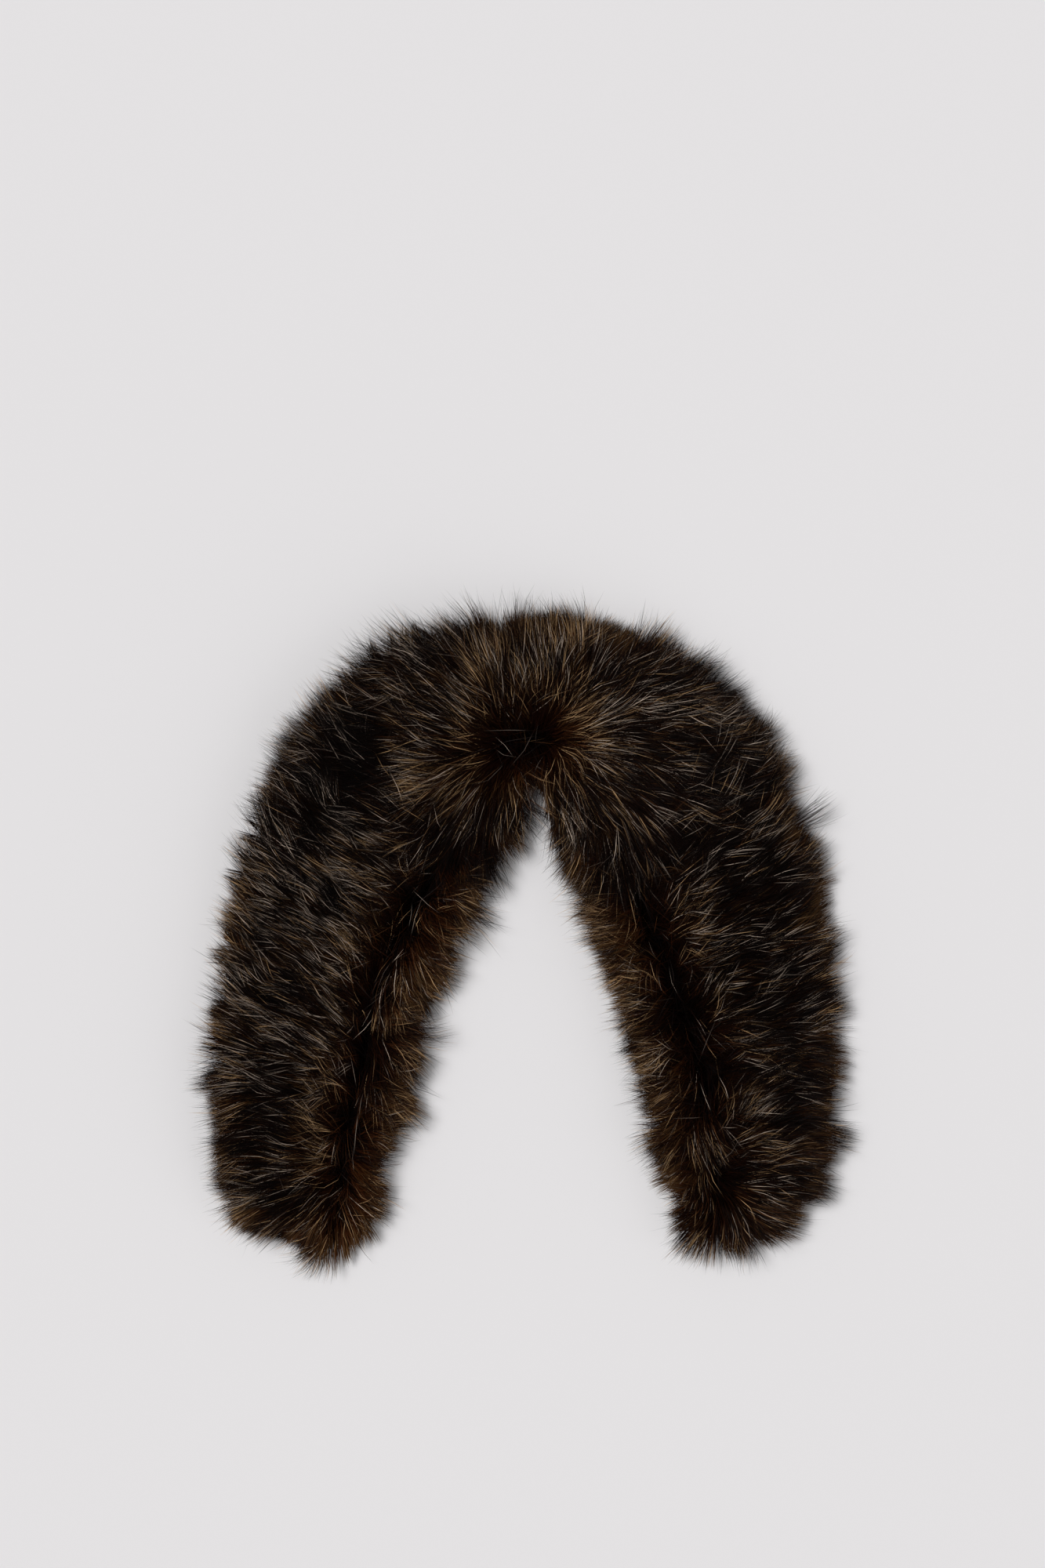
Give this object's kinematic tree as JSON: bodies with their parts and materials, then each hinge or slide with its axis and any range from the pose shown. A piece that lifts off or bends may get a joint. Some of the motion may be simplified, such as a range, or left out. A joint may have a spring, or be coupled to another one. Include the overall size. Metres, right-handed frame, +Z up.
{
  "type": "fur collar wrap",
  "caption": "Long-pile fake fur collar wrap laid flat as a horseshoe, with a whorl at the back, a wide outer and a narrow inner fur band on each arm, and a fur under side.",
  "frame": {"origin": "on the surface it lies on, under the middle of the collar's box", "axes": "+X from the left arm to the right arm as seen from above, +Y from the arms' ends to the back of the collar, +Z up out of the pile"},
  "size_m": [0.477, 0.48, 0.0448],
  "materials": {
    "outer_fur": "long fake fur pile, dark brown with tan bands and black tips",
    "inner_fur": "long fake fur pile, dark golden brown, with fewer pale tips",
    "back_fur": "long fake fur pile in a whorl, near black at its centre, with pale tan streaks",
    "under_fur": "fake fur pile pressed flat, dark brown"
  },
  "bodies": {
    "root": {"outer_band_left": "outer_fur", "outer_band_right": "outer_fur", "inner_band_left": "inner_fur", "inner_band_right": "inner_fur", "back_panel": "back_fur", "under_half_left": "under_fur", "under_half_right": "under_fur"}
  },
  "joints": []
}
